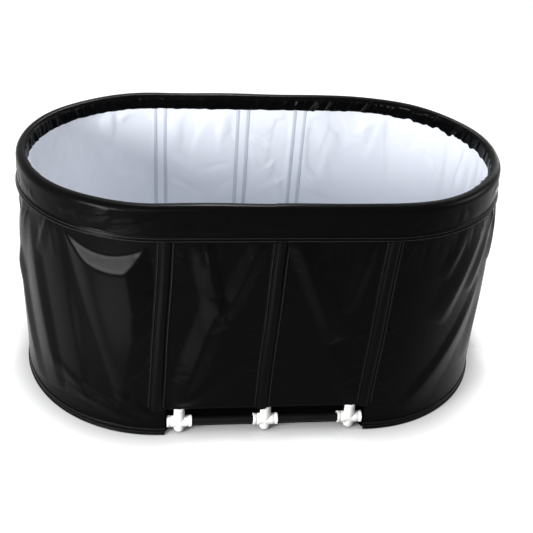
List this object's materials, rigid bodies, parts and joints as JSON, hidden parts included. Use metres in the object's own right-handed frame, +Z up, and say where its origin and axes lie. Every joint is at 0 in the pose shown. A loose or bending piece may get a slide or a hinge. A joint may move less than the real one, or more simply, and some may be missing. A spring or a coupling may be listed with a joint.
{
  "type": "cold plunge tub",
  "caption": "Free-standing oval soft-walled cold plunge tub with a padded rim, white liner and push-fit pipe frames that stand along its straight sides.",
  "frame": {"origin": "on the ground under the middle of the base sheet", "axes": "+X along the tub to the drain end, +Y to the rear, +Z up"},
  "size_m": [1.2324, 0.7504, 0.6],
  "materials": {
    "black_fabric": "satin coated fabric",
    "black_trim": "satin coated fabric, sewn",
    "white_liner": "smooth coated fabric",
    "weld_strip": "smooth weld",
    "foam": "closed-cell foam",
    "white_plastic": "moulded",
    "black_pipe": "drawn pipe",
    "black_plastic": "moulded",
    "rubber": "matte"
  },
  "bodies": {
    "front_frame": {"front_tee_left": "white_plastic", "front_tee_middle": "white_plastic", "front_tee_right": "white_plastic", "front_pole_left": "black_pipe", "front_pole_middle": "black_pipe", "front_pole_right": "black_pipe", "front_rail_left": "black_pipe", "front_rail_right": "black_pipe"},
    "tub": {"front_weld_strip_left": "weld_strip", "front_rib_left": "black_trim", "front_weld_strip_middle": "weld_strip", "front_rib_middle": "black_trim", "front_weld_strip_right": "weld_strip", "front_rib_right": "black_trim", "front_pad_left": "foam", "cover_front_left": "black_fabric", "front_pad_right": "foam", "cover_front_right": "black_fabric", "base_band_front": "black_fabric", "rear_weld_strip_left": "weld_strip", "rear_rib_left": "black_trim", "rear_weld_strip_middle": "weld_strip", "rear_rib_middle": "black_trim", "rear_weld_strip_right": "weld_strip", "rear_rib_right": "black_trim", "rear_pad_left": "foam", "cover_rear_left": "black_fabric", "rear_pad_right": "foam", "cover_rear_right": "black_fabric", "base_band_rear": "black_fabric", "base_band_left": "black_fabric", "end_pad_left": "foam", "cover_end_left": "black_fabric", "base_hem_left": "black_trim", "rim_roll_left": "foam", "base_band_right": "black_fabric", "end_pad_right": "foam", "cover_end_right": "black_fabric", "base_hem_right": "black_trim", "rim_roll_right": "foam", "base_sheet": "black_fabric", "floor_pad": "foam", "liner_floor": "white_liner", "liner_wall": "white_liner", "rim_collar": "black_fabric", "drain_body": "black_plastic", "drain_outer_gasket": "rubber", "drain_inner_gasket": "rubber", "drain_locknut": "white_plastic"},
    "rear_frame": {"rear_tee_left": "white_plastic", "rear_tee_middle": "white_plastic", "rear_tee_right": "white_plastic", "rear_pole_left": "black_pipe", "rear_pole_middle": "black_pipe", "rear_pole_right": "black_pipe", "rear_rail_left": "black_pipe", "rear_rail_right": "black_pipe"},
    "drain_cap_washer": {"drain_cap_washer": "rubber"},
    "drain_cap": {"drain_cap": "black_plastic"}
  },
  "joints": [
    {"name": "tub_lift", "type": "slide", "parent": "front_frame", "child": "tub", "axis": [0, 0.0644, 0.9979], "range_m": [0, 0.5]},
    {"name": "rear_frame_draw", "type": "slide", "parent": "tub", "child": "rear_frame", "axis": [0, 0.0644, -0.9979], "range_m": [0, 0.5]},
    {"name": "drain_cap_travel", "type": "slide", "parent": "tub", "child": "drain_cap_washer", "axis": [0.9994, 0, 0.0333], "range_m": [0, 0.012]},
    {"name": "drain_cap_turn", "type": "hinge", "parent": "drain_cap_washer", "child": "drain_cap", "pos_m": [0.6015, 0, 0.045], "axis": [0.9994, 0, 0.0333], "range_deg": [0, 1440]}
  ],
  "couplings": [
    {"joint": "rear_frame_draw", "follows": "tub_lift", "ratio": 1},
    {"joint": "drain_cap_travel", "follows": "drain_cap_turn", "m_per_rad": 0.00047746}
  ]
}
